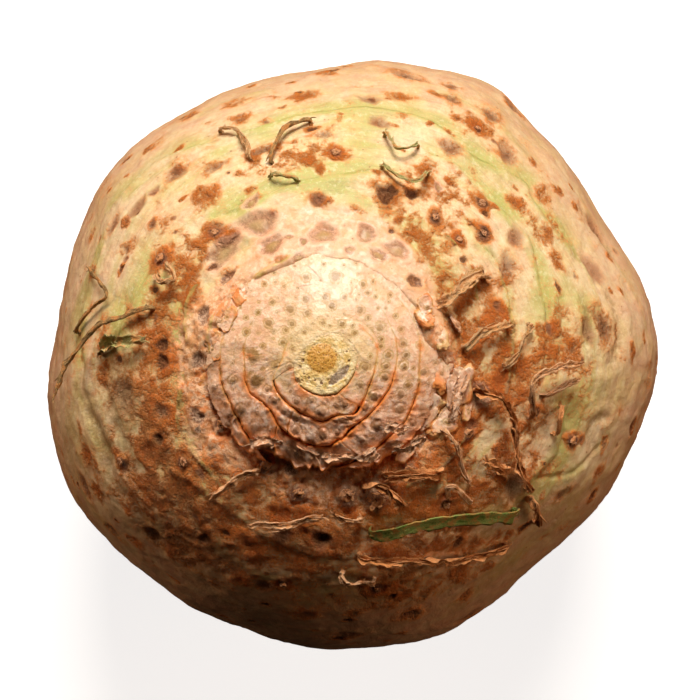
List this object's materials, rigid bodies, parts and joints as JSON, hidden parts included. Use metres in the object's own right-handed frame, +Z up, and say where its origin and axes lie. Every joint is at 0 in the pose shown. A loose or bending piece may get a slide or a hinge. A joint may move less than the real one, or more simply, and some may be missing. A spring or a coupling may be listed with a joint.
{
  "type": "celeriac root",
  "caption": "Whole celeriac root with a domed, trimmed crown of cut leaf bases, scarred knobbly skin and dried rootlets, standing on a small flat spot",
  "frame": {"origin": "the middle of the small flat spot under the root, on the surface that it stands on", "axes": "+Z up through the cut crown, +X along the widest way across the belly, +Y across it"},
  "size_m": [0.1173, 0.1128, 0.0955],
  "materials": {
    "skin": "matt, lumpy root skin, cream to yellow-green, with rust-brown and dark scars",
    "heart": "moist cut heart, golden yellow with an olive rim and fine dark dots",
    "cut_leaf_base": "cut leaf stalks, pinkish cream, slightly moist, dotted with brown and green strands",
    "rootlet": "dried fibrous rootlets, rust to dark brown, matt",
    "green_fibre": "dried leaf strips and fibres, dull green, matt",
    "dry_flap": "thin papery edges of old leaf stalks, pale tan, matt"
  },
  "bodies": {
    "root": {"root_body": "skin", "heart_bud": "heart", "leaf_base_01": "cut_leaf_base", "leaf_base_02": "cut_leaf_base", "leaf_base_03": "cut_leaf_base", "leaf_base_04": "cut_leaf_base", "leaf_base_05": "cut_leaf_base", "leaf_base_06": "cut_leaf_base", "leaf_base_07": "cut_leaf_base", "leaf_base_08": "cut_leaf_base", "leaf_base_09": "cut_leaf_base", "leaf_base_10": "cut_leaf_base", "leaf_base_11": "cut_leaf_base", "leaf_base_12": "cut_leaf_base", "leaf_base_13": "cut_leaf_base", "long_twig_left": "rootlet", "thin_dark_left": "rootlet", "leaf_curl_left": "green_fibre", "loop_left": "rootlet", "faint_upper_left": "rootlet", "forked_brown_upper": "rootlet", "forked_green_upper": "green_fibre", "curl_right_upper": "rootlet", "curl_top_right": "rootlet", "folded_strip_right": "rootlet", "curl_right": "rootlet", "bent_right": "rootlet", "tan_right": "rootlet", "straight_right": "rootlet", "hook_right": "rootlet", "long_right": "rootlet", "long_right_tail": "rootlet", "thin_right": "rootlet", "ring_right": "rootlet", "orange_under": "rootlet", "curl_under": "rootlet", "stub_under": "rootlet", "green_strip": "green_fibre", "fibre_under_strip": "rootlet", "bits_under": "rootlet", "woody_left": "rootlet", "pale_fibre": "rootlet", "pale_fibre_right": "rootlet", "dry_flap_1": "dry_flap", "dry_flap_2": "dry_flap", "dry_flap_3": "dry_flap", "dry_flap_4": "dry_flap", "dry_flap_5": "dry_flap", "dry_flap_6": "dry_flap", "dry_flap_7": "dry_flap", "dry_flap_8": "dry_flap"}
  },
  "joints": []
}
